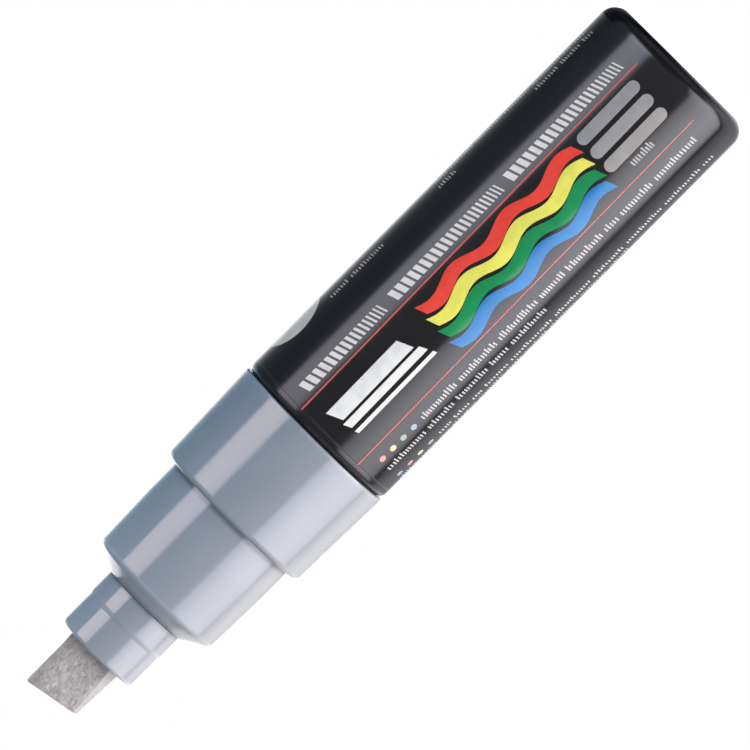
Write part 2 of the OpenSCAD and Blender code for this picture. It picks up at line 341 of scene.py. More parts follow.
def effect(tree, maker, **values):
    """Places a shared effect in a material, with its own values, and returns what it puts out"""
    name = maker.__name__.replace("_", " ").capitalize()
    group = bpy.data.node_groups.get(name) or maker()
    made = add(tree, "ShaderNodeGroup", node_tree=group)
    for label, value in values.items():
        made.inputs[label.replace("_", " ").title()].default_value = value
    return made.outputs[0]


# Materials

def bare_tree(owner):
    """Empty node tree of a material or a world"""
    owner.use_nodes = True
    owner.node_tree.nodes.clear()
    return owner.node_tree


def new_material(name, **sockets):
    """A material, its tree and its shader, with uniform numbers set on the shader's own sockets"""
    material = bpy.data.materials.new(name)
    material.use_nodes = True
    tree = material.node_tree
    shader = next(n for n in tree.nodes if n.type == "BSDF_PRINCIPLED")
    for label, value in sockets.items():
        shader.inputs[label.replace("_", " ").replace("Ior", "IOR")].default_value = value
    return material, tree, shader


def surface(tree, shader, shade, gloss, height, depth, strength=1.0):
    """Links what changes over the surface: the colour, the roughness and the bump"""
    tree.links.new(shade, shader.inputs["Base Color"])
    tree.links.new(gloss, shader.inputs["Roughness"])
    bump = add(tree, "ShaderNodeBump", {"Height": height, "Distance": depth, "Strength": strength})
    tree.links.new(bump.outputs["Normal"], shader.inputs["Normal"])


def gloss_plastic(name, colour, worn, roughness, ior, grooves=(), edges=(), corners=()):
    """Glossy plastic with faint handling, hairlines, dust, worn edges, painted shade in the corners
    between parts, and ring grooves
    """
    material, tree, shader = new_material(name, Ior=ior)
    marks = effect(tree, handling_marks, scale=95.0, contrast=0.22)
    hairs = effect(tree, fine_scratches, scale=800.0, share=0.07)
    specks = effect(tree, dust_specks, scale=520.0, size=0.09, share=0.1)
    wear = times(tree, hairs, 0.1)
    for height in edges:
        rim = effect(tree, ring_band, height=height, half_width=0.00006, fade=0.0003)
        wear = calc(tree, "MAXIMUM", wear, times(tree, rim, times(tree, marks, 0.5)))
    wear = calc(tree, "MAXIMUM", wear, times(tree, specks, 0.35))
    shade = blend(tree, marks, scaled(colour, 0.97), scaled(colour, 1.03))
    shade = blend(tree, wear, shade, worn)
    # Painted shade: each corner band darkens the colour where one part meets another and shade falls
    for height, share in corners:
        painted_shade_band = effect(tree, ring_band, height=height, half_width=0.00012, fade=0.0007)
        shade = blend(tree, times(tree, painted_shade_band, share), shade, scaled(colour, 0.3))
    gloss = remap(tree, marks, 0.0, 1.0, roughness * 0.88, roughness * 1.12)
    gloss = calc(tree, "ADD", gloss, times(tree, wear, 0.25), clamp=True)
    skin = effect(tree, moulded_skin, scale=420.0, fine=0.2)
    height = calc(tree, "ADD", skin, times(tree, hairs, -0.3))
    for level in grooves:
        cut = effect(tree, ring_band, height=level, half_width=0.00003, fade=0.0001)
        height = calc(tree, "SUBTRACT", height, times(tree, cut, 18.0))
    surface(tree, shader, shade, gloss, height, SKIN_DEPTH)
    return material


def ink(name, colour, roughness=0.17):
    """Printing ink, faintly uneven, under the film's gloss"""
    material, tree, shader = new_material(name, Ior=1.5)
    marks = effect(tree, handling_marks, scale=520.0, contrast=0.25)
    specks = effect(tree, dust_specks, scale=1500.0, size=0.16, share=0.1)
    shade = blend(tree, marks, scaled(colour, 0.92), scaled(colour, 1.05))
    thin = times(tree, specks, 0.3)
    shade = blend(tree, thin, shade, scaled(colour, 0.4))
    gloss = remap(tree, marks, 0.0, 1.0, roughness * 0.9, roughness * 1.15)
    skin = effect(tree, moulded_skin, scale=900.0, fine=0.5)
    surface(tree, shader, shade, gloss, skin, SKIN_DEPTH)
    return material


def felt(name, colour, dark, light):
    """Pressed felt, mottled by fibres that run every way; darker at its root, where it is soaked and has
    painted shade by the holder, with painted shade on its far side and on the side that the key light
    falls on
    """
    material, tree, shader = new_material(name, Ior=1.4, Specular_IOR_Level=0.2)
    along = noise_value(tree, place(tree, (0.1, 0.2, 0.0), (1, 1, 0.22)), 3200.0, detail=2.0)
    across = noise_value(tree, place(tree, (0.4, 0.6, 0.4), (1, 1, 0.25)), 3000.0, detail=2.0)
    clumps = effect(tree, handling_marks, scale=900.0, contrast=0.16)
    threads = remap(tree, calc(tree, "MAXIMUM", along, across), 0.5, 0.74)
    shade = blend(tree, clumps, scaled(colour, 0.8), scaled(colour, 1.1))
    shade = blend(tree, times(tree, threads, 0.5), shade, light)
    pores = effect(tree, dust_specks, scale=2300.0, size=0.3, share=0.12)
    shade = blend(tree, times(tree, pores, 0.5), shade, dark)
    # Darker towards the root: soaked felt, and painted shade where the felt meets the holder
    root = effect(tree, ring_band, height=HOLDER_TOP.z, half_width=0.0002, fade=0.0026)
    soaked_and_shaded = times(tree, root, 0.76)
    painted_key_side_shade = times(tree, effect(tree, cut_side_facing), 0.9)
    # Painted shade on the nib's far side, away from the key light
    width = add(tree, "ShaderNodeSeparateXYZ", {0: place(tree, (0, 0, -NIB_TURN))}).outputs["X"]
    far_side_shade = times(tree, remap(tree, width, 0.0016, 0.0032), 0.5)
    shade = blend(tree, far_side_shade, shade, dark)
    shade = blend(tree, soaked_and_shaded, shade, dark)
    # Painted shade on the side that the key light falls on, deeper near the root
    side = tuple(c * tone for c, tone in zip(colour, KEY_SIDE_SHADE_TONE))
    side = blend(tree, times(tree, root, 0.3), side, dark)
    shade = blend(tree, painted_key_side_shade, shade, side)
    gloss = remap(tree, clumps, 0.0, 1.0, 0.95, 0.8)
    height = calc(tree, "ADD", threads, times(tree, pores, -1.0))
    surface(tree, shader, shade, gloss, height, 0.00003, 0.6)
    return material


def natural_plastic(name, colour):
    """Unpainted valve plastic, satin, with flow marks"""
    material, tree, shader = new_material(name, Ior=1.5)
    flow = effect(tree, handling_marks, scale=240.0, contrast=0.25)
    hairs = effect(tree, fine_scratches, scale=1300.0, share=0.06)
    shade = blend(tree, flow, scaled(colour, 0.94), scaled(colour, 1.03))
    worn = times(tree, hairs, 0.3)
    shade = blend(tree, worn, shade, scaled(colour, 0.8))
    gloss = remap(tree, flow, 0.0, 1.0, 0.38, 0.52)
    skin = effect(tree, moulded_skin, scale=1100.0, fine=0.5)
    surface(tree, shader, shade, gloss, skin, 0.000003)
    return material


def rubber(name, colour):
    """Soft rubber with a dull skin and powdery specks"""
    material, tree, shader = new_material(name, Ior=1.5)
    dull = effect(tree, handling_marks, scale=420.0, contrast=0.25)
    specks = effect(tree, dust_specks, scale=1600.0, size=0.2, share=0.2)
    shade = blend(tree, dull, scaled(colour, 0.8), scaled(colour, 1.3))
    powder = times(tree, specks, 0.2)
    shade = blend(tree, powder, shade, scaled(colour, 4.0))
    gloss = remap(tree, dull, 0.0, 1.0, 0.52, 0.72)
    skin = effect(tree, moulded_skin, scale=2200.0, fine=0.6)
    surface(tree, shader, shade, gloss, skin, 0.000006)
    return material


def steel(name, colour, low, high, scratch_scale):
    """Bare steel with drawing or rolling marks"""
    material, tree, shader = new_material(name, Metallic=1.0)
    hairs = effect(tree, fine_scratches, scale=scratch_scale, share=0.12)
    marks = effect(tree, handling_marks, scale=500.0, contrast=0.25)
    shade = blend(tree, marks, scaled(colour, 0.88), scaled(colour, 1.06))
    shade = blend(tree, hairs, shade, scaled(colour, 0.75))
    gloss = remap(tree, marks, 0.0, 1.0, low, high)
    gloss = calc(tree, "ADD", gloss, times(tree, hairs, 0.12), clamp=True)
    surface(tree, shader, shade, gloss, hairs, 0.000002)
    return material


def dress(node_name, material):
    """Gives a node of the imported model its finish"""
    materials = frame["nodes"][node_name].data.materials
    materials.clear()
    materials.append(material)


# Meshes

def mesh_object(name, bm, materials=()):
    """Makes an object of a mesh"""
    mesh = bpy.data.meshes.new(name)
    bm.to_mesh(mesh)
    bm.free()
    made = bpy.data.objects.new(name, mesh)
    bpy.context.scene.collection.objects.link(made)
    for material in materials:
        mesh.materials.append(material)
    return made


def new_piece(name, bm, materials, body, replaced=()):
    """Makes a piece of the marker that rides on a body"""
    bmesh.ops.recalc_face_normals(bm, faces=bm.faces)
    piece = mesh_object(name, bm, materials)
    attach(piece, body)
    if replaced:
        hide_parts(*replaced)
    return piece


def on_film(arc, height, lift):
    """Point on the film, arc being measured from the side that faces the camera towards +X"""
    middle = (FILM_LOW.z + FILM_TOP.z) / 2
    turn = (arc + PRINT_LEAN * (height - middle)) / FILM_R
    radius = FILM_R + lift
    return Vector((radius * math.sin(turn), -radius * math.cos(turn), height))


def plate(bm, grid, lift, sunk):
    """Closed thin plate bent round the film, from rows of (arc, height) points"""
    upper = [[bm.verts.new(on_film(arc, height, lift)) for arc, height in row] for row in grid]
    lower = [[bm.verts.new(on_film(arc, height, -sunk)) for arc, height in row] for row in grid]
    rows = len(grid)
    columns = len(grid[0])
    for i in range(rows - 1):
        for j in range(columns - 1):
            corners = ((i, j), (i, j + 1), (i + 1, j + 1), (i + 1, j))
            bm.faces.new([upper[a][b] for a, b in corners]).smooth = True
            bm.faces.new([lower[a][b] for a, b in reversed(corners)]).smooth = True
    border = [(0, j) for j in range(columns - 1)]
    border += [(i, columns - 1) for i in range(rows - 1)]
    border += [(rows - 1, j) for j in range(columns - 1, 0, -1)]
    border += [(i, 0) for i in range(rows - 1, 0, -1)]
    for k, (a, b) in enumerate(border):
        c, d = border[(k + 1) % len(border)]
        bm.faces.new((upper[a][b], upper[c][d], lower[c][d], lower[a][b]))
        for rim in (upper, lower):
            bm.edges.get((rim[a][b], rim[c][d])).smooth = False


def round_bar(arc, height, width, length, steps=14):
    """Rows of a bar with round ends that lies along the axis, or of a disc"""
    radius = width / 2
    rows = []
    for k in range(steps):
        share = -math.cos(math.pi * (k + 0.5) / steps)
        reach = length / 2 - radius + radius * math.sqrt(1 - share * share)
        rows.append([(arc + radius * share, height - reach), (arc + radius * share, height + reach)])
    return rows


def slant_bar(arc, height, width, length, slant, steps=6):
    """Rows of a bar along the axis whose ends are cut slanting, as a chisel nib leaves them"""
    rows = []
    for k in range(steps + 1):
        offset = width * (k / steps - 0.5)
        shift = slant * offset
        here = arc + offset
        rows.append([(here, height - length / 2 + shift), (here, height + length / 2 + shift)])
    return rows


def pen_wave(arc, start, end, width, swing, wave_length, pen_angle, across=6, step=0.0003):
    """Rows of a wave drawn with a broad pen held at a fixed angle"""
    count = round((end - start) / step)
    rows = []
    for i in range(count + 1):
        height = start + (end - start) * i / count
        middle = arc + swing * math.sin(2 * math.pi * (height - start) / wave_length)
        row = []
        for j in range(across + 1):
            reach = width * (j / across - 0.5)
            row.append((middle + reach * math.cos(pen_angle), height + reach * math.sin(pen_angle)))
        rows.append(row)
    return rows


def tube(bm, line, radius, sides, outward, material_index=0):
    """Closed tube along a line of points; outward gives each point's reference direction"""
    rings = []
    last = len(line) - 1
    for i, point in enumerate(line):
        heading = (line[min(i + 1, last)] - line[max(i - 1, 0)]).normalized()
        first = (outward[i] - heading * outward[i].dot(heading)).normalized()
        second = heading.cross(first)
        ring = []
        for k in range(sides):
            turn = 2 * math.pi * k / sides
            ring.append(bm.verts.new(point + (first * math.cos(turn) + second * math.sin(turn)) * radius))
        rings.append(ring)
    for a, b in zip(rings, rings[1:]):
        for k in range(sides):
            face = bm.faces.new((a[k], a[(k + 1) % sides], b[(k + 1) % sides], b[k]))
            face.smooth = True
            face.material_index = material_index
    for ring in (list(reversed(rings[0])), rings[-1]):
        bm.faces.new(ring).material_index = material_index


# Print on the film

# Millimetres across, from the side that faces the camera, and along, from the tail
# Start and end of the gauge's groups; across, width, start and end of the broad strokes
GAUGE_GROUPS = ((63.4, 48.9), (47.1, 27.3), (25.9, 5.8))
BROAD_STROKES = ((0.05, 2.2, 63.2, 50.2), (-2.0, 1.1, 62.9, 48.9), (-3.45, 0.55, 62.6, 48.2))
FIRST_WAVE = 1.55
WAVE_STEP = 2.12
WAVE_ENDS = (17.0, 45.8)
CHIPS = (1.96, -0.51, -2.98)
CHIP_MIDDLE = 10.9
CHIP_LENGTH = 10.85
DISC = (17.65, 58.5)
DOT_ROWS = (-9.1, -14.7, -20.3, -25.9)

# The rules' places across and their shares of the rule width, and the lap, across from the back
RULES = ((3.79, 1.0), (-6.81, 0.55))
LAP = (-1.2, -0.6, 0, 0.6, 1.2)

# Rows of small strokes on the two sides of the film: across, start and end along
KEY_SIDE_ROWS = (
    (-4.95, 13.3, 8.4), (-9.1, 55.4, 5.4), (-11.45, 63.2, 33.6),
    (-14.7, 55.4, 5.2), (-17.05, 63.2, 21.4), (-20.3, 55.4, 5.7),
    (-22.65, 63.2, 28.9), (-25.9, 55.4, 5.4), (-28.25, 63.2, 40.4),
)
FAR_SIDE_ROWS = (
    (13.8, 52.8, 43.1), (13.8, 33.0, 30.0), (13.8, 15.3, 5.0), (16.1, 33.0, 5.4),
    (24.4, 49.6, 5.6), (26.7, 49.6, 17.6), (29.0, 49.6, 6.0),
)


def print_piece(context, name, colour, grids):
    height = context.scene.marker_print.ink_height
    bm = bmesh.new()
    for grid in grids:
        plate(bm, grid, height, PLATE_SUNK)
    return new_piece(name, bm, [ink(name, colour)], "body")


def line_gauge():
    """Three groups of slanting bars that go from a broad line to a fine one"""
    middle = 5.55 * MM
    width = 1.75 * MM
    broad = 0.85 * MM
    fine = 0.2 * MM
    gap = 0.37 * MM
    for start, end in GAUGE_GROUPS:
        here = start * MM
        while here > end * MM:
            share = (start * MM - here) / ((start - end) * MM)
            thick = broad + (fine - broad) * share
            yield slant_bar(middle, here - thick / 2, width, thick, 0.3)
            here -= thick + gap


def broad_strokes():
    """Three chisel strokes of falling width, one above the other"""
    for arc, width, start, end in BROAD_STROKES:
        length = (start - end) * MM
        yield slant_bar(arc * MM, (start + end) / 2 * MM, width * MM, length, 0.45)


def stroke_rows(thick, blocks, seed):
    """Rows of short upright strokes, in groups of uneven length"""
    draw = random.Random(seed)
    short = 0.82
    tall = 1.16
    gap = 0.55 * MM
    for arc, start, end in blocks:
        here = start * MM
        while here > (end + 0.5) * MM:
            for _ in range(draw.randint(4, 16)):
                if here < end * MM:
                    break
                size = draw.choice((short, short, short, tall)) * MM
                middle = arc * MM + (size - short * MM) / 2
                yield slant_bar(middle, here, size, thick, 0.12, 2)
                here -= draw.uniform(0.4, 0.52) * MM
            here -= gap


def colour_dots(first):
    """Dots that begin four of the rows; in each row a colour takes another place"""
    width = 0.95 * MM
    for i, arc in enumerate(DOT_ROWS):
        height = (62.8 - 1.9 * ((first + i) % 4)) * MM
        yield round_bar(arc * MM, height, width, width, 10)


def washed(colour, share):
    """Ink of the small dots, paler and greyer than that of the waves"""
    grey = 0.2
    return tuple(share * channel + grey for channel in colour)


# Felt and spring

def felt_mesh(sizes):
    """Even, finely divided copy of the nib's solid with rounded edges"""
    bm = bmesh.new()
    bm.from_mesh(frame["nodes"]["nib"].data)
    bmesh.ops.remove_doubles(bm, verts=bm.verts, dist=1e-7)
    bmesh.ops.dissolve_limit(bm, angle_limit=0.01, verts=bm.verts, edges=bm.edges)
    bmesh.ops.bevel(
        bm, geom=bm.edges[:], offset=sizes.edge_round, segments=3, affect="EDGES", profile=0.5
    )
    rough = mesh_object("nib_shape", bm)
    remesh = rough.modifiers.new("Even cells", "REMESH")
    remesh.mode = "VOXEL"
    remesh.voxel_size = sizes.cell
    ready = rough.evaluated_get(bpy.context.evaluated_depsgraph_get())
    bm = bmesh.new()
    bm.from_mesh(ready.to_mesh())
    mesh = rough.data
    bpy.data.objects.remove(rough)
    bpy.data.meshes.remove(mesh)
    return bm


def roughen(bm, grain):
    """Moves the points by the felt's unevenness, which runs mostly along the axis"""
    bm.normal_update()
    moves = []
    for vert in bm.verts:
        where = vert.co / MM
        fibre = noise.noise(Vector((where.x * 3.2, where.y * 3.2, where.z * 1.1)))
        pore = noise.noise(where * 5.5 + Vector((7, 3, 1)))
        moves.append(vert.normal * grain * (0.6 * fibre + 0.55 * pore))
    for vert, move in zip(bm.verts, moves):
        vert.co += move
    for face in bm.faces:
        face.smooth = True


def loose_fibres(felt_bm, sizes):
    """Fine closed tubes that lie on the felt above the holder"""
    draw = random.Random(11)
    half_width = 0.004
    reach = 0.0031
    tip_margin = 0.0005
    clear = HOLDER_TOP.z + 0.0003
    sides_clear = HOLDER_TOP.z + PRESS_TRAVEL + 0.0006
    points = 5
    seats = []
    for face in felt_bm.faces:
        middle = face.calc_center_median()
        flat_side = abs(face.normal.y) > abs(face.normal.x)
        across = middle.x * math.cos(NIB_TURN) + middle.y * math.sin(NIB_TURN)
        tip = NIB_TOP.z - tip_margin - (half_width - across) * TIP_SLOPE
        inside = abs(across) < reach and middle.z < tip and abs(face.normal.z) < 0.6
        if inside and middle.z > (clear if flat_side else sides_clear):
            seats.append((middle, face.normal.copy()))
    bm = bmesh.new()
    for _ in range(sizes.fibres):
        seat, normal = draw.choice(seats)
        along = Vector((0, 0, 1)) - normal * normal.z
        side = normal.cross(Vector((0, 0, 1)))
        turn = draw.gauss(0, 0.5)
        if side.length < 0.2:
            side = normal.orthogonal()
            along = normal.cross(side)
        heading = along.normalized() * math.cos(turn) + side.normalized() * math.sin(turn)
        heading = heading.normalized()
        length = sizes.fibre_length * draw.uniform(0.35, 1.0)
        radius = sizes.fibre_width / 2 * draw.uniform(0.55, 1.0)
        bow = heading.cross(normal) * length * draw.uniform(-0.18, 0.18)
        lift = radius * draw.uniform(-0.5, 0.4)
        line = []
        for k in range(points):
            share = k / (points - 1) - 0.5
            rise = lift - radius * 1.6 * (2 * share) ** 2
            line.append(seat + heading * length * share + bow * (1 - 4 * share * share) + normal * rise)
        if min(p.z for p in line) < clear:
            continue
        tone = draw.choices((0, 1, 2), weights=(5, 4, 2))[0]
        tube(bm, line, radius, 4, [normal] * points, tone)
    return bm


def spring(wire_radius=0.00035, turns=5.5, rings=40, sides=12, closing=0.055):
    """Coil with its end turns closed up, between the spring's own seats"""
    low = SPRING_LOW.z + wire_radius
    high = SPRING_TOP.z - wire_radius
    coil_radius = SPRING_TOP.x - wire_radius
    line = []
    outward = []
    count = round(turns * rings)
    for i in range(count + 1):
        share = i / count
        swell = (1 - abs(2 * share - 1)) ** 0.5
        eased = share - closing * math.sin(4 * math.pi * share) * swell
        turn = 2 * math.pi * turns * share
        away = Vector((math.cos(turn), math.sin(turn), 0))
        line.append(away * coil_radius + Vector((0, 0, low + (high - low) * eased)))
        outward.append(away)
    bm = bmesh.new()
    tube(bm, line, wire_radius, sides, outward)
    return bm


# Studio

# Lamps: angle from the camera's side and span in degrees, ends and distance in metres, colour
LAMPS = (
    ("key", -95, 60, -0.18, 0.42, 0.45, (1.0, 0.85, 0.73)),
    ("front", 0, 50, -0.2, 0.3, 0.45, (0.97, 1.0, 0.99)),
    ("cool", 60, 40, -0.15, 0.35, 0.45, (0.1, 0.5, 1.0)),
    ("nib", 75, 60, 0.1, 0.15, 0.05, (1.0, 0.96, 0.85)),
    ("back", 150, 50, 0.0, 0.5, 0.45, (0.95, 0.98, 1.0)),
    ("rear", 190, 50, 0.0, 0.4, 0.45, (0.8, 0.93, 1.0)),
)

# Brightness of the tent by the angle from the camera's side, counted towards +X
TENT = (
    (-180, 0.9), (-168, 0.5), (-150, 0.6), (-132, 0.95), (-120, 0.85), (-112, 0.6),
    (-108.5, 0.05), (-104.5, 0.05), (-102, 2.2), (-98, 3.0), (-92, 3.7), (-80, 4.5),
    (-68, 4.3), (-56, 4.0), (-44, 2.9), (-37.5, 2.2), (-35, 0.4), (-32, 0.3),
    (35, 0.3), (37.5, 2.4), (41, 2.9), (56, 3.2), (70, 3.0), (72.5, 2.6), (75.5, 0.35),
    (78, 0.25), (100, 0.18), (132, 0.22), (150, 0.55), (168, 1.5), (180, 1.2),
)


def seen_rays(tree):
    """1 for rays that show the background: those of the camera, of gloss and of glass"""
    path = add(tree, "ShaderNodeLightPath").outputs
    both = calc(tree, "ADD", path["Is Camera Ray"], path["Is Glossy Ray"])
    return calc(tree, "ADD", both, path["Is Transmission Ray"], clamp=True)


def toward(angle, distance, height):
    """Point at an angle from the camera's side, counted towards +X"""
    turn = math.radians(angle)
    return Vector((distance * math.sin(turn), -distance * math.cos(turn), height))


def place_camera(context, studio):
    data = bpy.data.cameras.new("camera")
    data.lens = studio.lens
    data.sensor_width = 36
    eye = Vector(studio.eye)
    ahead = (Vector(studio.aim) - eye).normalized()
    level = Vector((1, 0, 0))
    upright = level.cross(ahead)
    right = level * math.cos(studio.roll) + upright * math.sin(studio.roll)
    up = upright * math.cos(studio.roll) - level * math.sin(studio.roll)
    turn = Matrix((right, up, -ahead)).transposed().to_4x4()
    made = bpy.data.objects.new("camera", data)
    made.matrix_world = Matrix.Translation(eye) @ turn
    context.scene.collection.objects.link(made)
    context.scene.camera = made


def hang_lamp(context, name, brightness, angle, span, bottom, top, distance, colour):
    """Upright soft lamp for the matt light, which fills a span of angles as the marker sees it"""
    width = 2 * distance * math.tan(math.radians(span / 2))
    data = bpy.data.lights.new(name, "AREA")
    data.shape = "RECTANGLE"
    data.size = width
    data.size_y = top - bottom
    data.energy = brightness * math.pi * width * (top - bottom)
    data.color = colour
    made = bpy.data.objects.new(name, data)
    spot = toward(angle, distance, (top + bottom) / 2)
    turn = Vector((spot.x, spot.y, 0)).to_track_quat("Z", "Y")
    made.matrix_world = Matrix.Translation(spot) @ turn.to_matrix().to_4x4()
    made.visible_camera = False
    made.visible_glossy = False
    context.scene.collection.objects.link(made)


def light_room(context, studio):
    """White background, and a dim room for the matt light"""
    world = bpy.data.worlds.new("room")
    context.scene.world = world
    tree = bare_tree(world)
    cool = (0.95, 0.98, 1, 1)
    dim = add(tree, "ShaderNodeBackground", {"Color": cool, "Strength": studio.room_light})
    white = add(tree, "ShaderNodeBackground", {"Color": (1, 1, 1, 1), "Strength": 1.0})
    inputs = {0: seen_rays(tree), 1: dim.outputs[0], 2: white.outputs[0]}
    mixed = add(tree, "ShaderNodeMixShader", inputs)
    add(tree, "ShaderNodeOutputWorld", {"Surface": mixed.outputs[0]})


def stage_object(name, bm, material, unseen_by):
    """Makes a piece of the stage that some kinds of rays don't meet"""
    made = mesh_object(name, bm, [material])
    for rays in unseen_by:
        setattr(made, "visible_" + rays, False)


def lay_floor():
    """Pale floor that turns to plain white away from the marker and keeps its shadow near it"""
    material = bpy.data.materials.new("floor_paper")
    tree = bare_tree(material)
    away = add(tree, "ShaderNodeVectorMath", {0: position(tree)}, operation="LENGTH").outputs["Value"]
    glow = remap(tree, away, 0.03, 0.2, 0.6, 1.0)
    shown = times(tree, glow, seen_rays(tree))
    grain = effect(tree, moulded_skin, scale=300.0, fine=0.5)
    paper = blend(tree, grain, (0.8, 0.8, 0.8), (0.82, 0.82, 0.82))
    matt = add(tree, "ShaderNodeBsdfDiffuse", {"Color": paper})
    lit = add(tree, "ShaderNodeEmission", {"Color": (1, 1, 1, 1), "Strength": shown})
    both = add(tree, "ShaderNodeAddShader", {0: matt.outputs[0], 1: lit.outputs[0]})
    add(tree, "ShaderNodeOutputMaterial", {"Surface": both.outputs[0]})
    bm = bmesh.new()
    bmesh.ops.create_circle(bm, cap_ends=True, segments=96, radius=0.7)
    stage_object("floor", bm, material, ("glossy", "shadow"))


# Ranges on the tent are in metres, slopes are height over distance, and angles are in radians

def tint(degrees):
    """Colour of the tent's cloth: a little cool on the side away from the broad panel"""
    if 76 < degrees < 150:
        return (0.85, 0.97, 1.1)
    return (0.97, 0.98, 1.07) if 35 < degrees < 76 else (1.0, 0.99, 1.02)


def tent_panels(tree, angle, z, slope, brightness):
    """Cloth by its angle; the panels lean near the ground and spread below it"""
    low_lean = remap(tree, z, 0.0, 0.15, 0.045, 0.0, False)
    lean = times(tree, calc(tree, "MINIMUM", angle, 0.0), low_lean)
    beyond = calc(tree, "MAXIMUM", calc(tree, "SUBTRACT", angle, 0.66), 0.0)
    spread = times(tree, beyond, remap(tree, slope, 0.0, -0.6, 0.0, -0.2, False))
    seen = calc(tree, "ADD", calc(tree, "ADD", angle, lean), spread)
    share = remap(tree, seen, -math.pi, math.pi, smooth=False)
    ramp = add(tree, "ShaderNodeValToRGB", {"Fac": share})
    stops = ramp.color_ramp.elements
    while len(stops) > 1:
        stops.remove(stops[-1])
    for i, (degrees, level) in enumerate(TENT):
        stop = stops[0] if i == 0 else stops.new(0.5 + degrees / 360)
        stop.position = 0.5 + degrees / 360
        stop.color = (*(c * level / brightness for c in tint(degrees)), 1.0)
    return ramp.outputs["Color"]


def tent_ends(tree, cloth, angle, slope, reach, brightness):
    """Lower ends of the panels, with the dark beneath them"""
    lit_floor = remap(tree, slope, -1.6, -1.2, 0.08 / brightness, 0.5 / brightness)
    key_side = remap(tree, angle, -1.2, -1.5)
    under = blend_values(tree, key_side, 0.08 / brightness, lit_floor)
    beneath = add(tree, "ShaderNodeCombineColor", {0: under, 1: under, 2: under}).outputs[0]
    broad_end = remap(tree, slope, -1.45, -0.8)
    narrow_end = remap(tree, slope, -0.75, -0.42)
    shown = blend_values(tree, reach, broad_end, narrow_end)
    return blend(tree, shown, beneath, cloth)


def tent_tones(tree, x, y, z, slope, front, reach):
    """Strength and tone of the cloth by its height: low for the barrel, high for the mouldings"""
    low = remap(tree, z, 0.0, 0.12, 1.0, 0.0, smooth=False)
    front_low = times(tree, front, low)
    glare = blend(tree, front_low, (0.98, 0.98, 1.06), (1.3, 1.3, 1.36))
    below = remap(tree, slope, -0.12, -0.4)
    flare = times(tree, times(tree, front, reach), below)
    glare = blend(tree, flare, glare, (1.5, 1.5, 1.55))
    behind_low = remap(tree, z, -0.06, 0.07, 0.9, 0.0, smooth=False)
    edge = times(tree, calc(tree, "SUBTRACT", 1.0, front), reach)
    glare = blend(tree, times(tree, edge, behind_low), glare, (0.0, 0.0, 0.0))
    sides = remap(tree, x, -0.5, 0.5)
    level = calc(tree, "SUBTRACT", z, times(tree, sides, 0.01))
    high = remap(tree, level, 0.128, 0.15)
    aside = remap(tree, y, -0.95, -0.1)
    broad = blend(tree, aside, (0.98, 0.96, 0.96), (0.62, 0.6, 0.6))
    outer = remap(tree, y, -0.36, -0.15)
    narrow = blend(tree, outer, (1.4, 1.16, 1.0), (0.35, 0.95, 1.1))
    panels = blend(tree, sides, broad, narrow)
    far = remap(tree, x, 0.35, 0.7)
    behind = blend(tree, far, (1.2, 1.17, 1.12), (0.55, 1.1, 1.25))
    panels = blend(tree, front, behind, panels)
    return blend(tree, high, glare, panels)


def tent_top(tree, cloth, x, y, z, front, brightness):
    """White behind the marker's front end, and the dim cloth above"""
    rear = remap(tree, y, 0.7, 1.0)
    rear = times(tree, rear, remap(tree, z, 0.2, 0.3))
    rear = times(tree, rear, remap(tree, x, 0.3, 0.62, 1.0, 0.0))
    white = remap(tree, x, -0.2, 0.17, 1.15 / brightness, 2.1 / brightness)
    backing = add(tree, "ShaderNodeCombineColor", {0: white, 1: white, 2: white}).outputs[0]
    cloth = blend(tree, rear, cloth, backing)
    dim = (0.2 / brightness,) * 3
    above = times(tree, front, remap(tree, z, 0.25, 0.295, 0.0, 0.85))
    cloth = blend(tree, above, cloth, dim)
    roof = remap(tree, z, 0.95, 1.29, 0.0, 0.9)
    return blend(tree, roof, cloth, dim)


def tent_cloth(brightness):
    """Cloth that is painted with a narrow panel, a broad panel and the white behind"""
    material = bpy.data.materials.new("tent_cloth")
    tree = bare_tree(material)
    where = position(tree)
    x, y, z = add(tree, "ShaderNodeSeparateXYZ", {0: where}).outputs
    angle = calc(tree, "ARCTAN2", x, times(tree, y, -1.0))
    flat = add(tree, "ShaderNodeVectorMath", {0: where, 1: (1, 1, 0)}, operation="MULTIPLY").outputs[0]
    out = add(tree, "ShaderNodeVectorMath", {0: flat}, operation="LENGTH").outputs["Value"]
    slope = calc(tree, "DIVIDE", z, out)
    front = remap(tree, y, 0.3, 0.6, 1.0, 0.0)
    reach = remap(tree, x, -0.15, 0.15)
    cloth = tent_panels(tree, angle, z, slope, brightness)
    cloth = tent_ends(tree, cloth, angle, slope, reach, brightness)
    tones = tent_tones(tree, x, y, z, slope, front, reach)
    cloth = add(tree, "ShaderNodeVectorMath", {0: cloth, 1: tones}, operation="MULTIPLY").outputs[0]
    cloth = tent_top(tree, cloth, x, y, z, front, brightness)
    glow = add(tree, "ShaderNodeEmission", {"Color": cloth, "Strength": brightness})
    add(tree, "ShaderNodeOutputMaterial", {"Surface": glow.outputs[0]})
    return material


def put_up_tent(brightness, radius=1.2, bottom=-0.9, top=1.3, steps=72):
    """Round tent that only the gloss sees"""
    bm = bmesh.new()
    lower = [bm.verts.new(toward(360 * i / steps, radius, bottom)) for i in range(steps)]
    upper = [bm.verts.new(toward(360 * i / steps, radius, top)) for i in range(steps)]
    for i in range(steps):
        j = (i + 1) % steps
        bm.faces.new((lower[i], lower[j], upper[j], upper[i]))
    bm.faces.new(lower)
    bm.faces.new(upper)
    unseen_by = ("camera", "diffuse", "transmission", "shadow")
    stage_object("tent", bm, tent_cloth(brightness), unseen_by)


# Operators

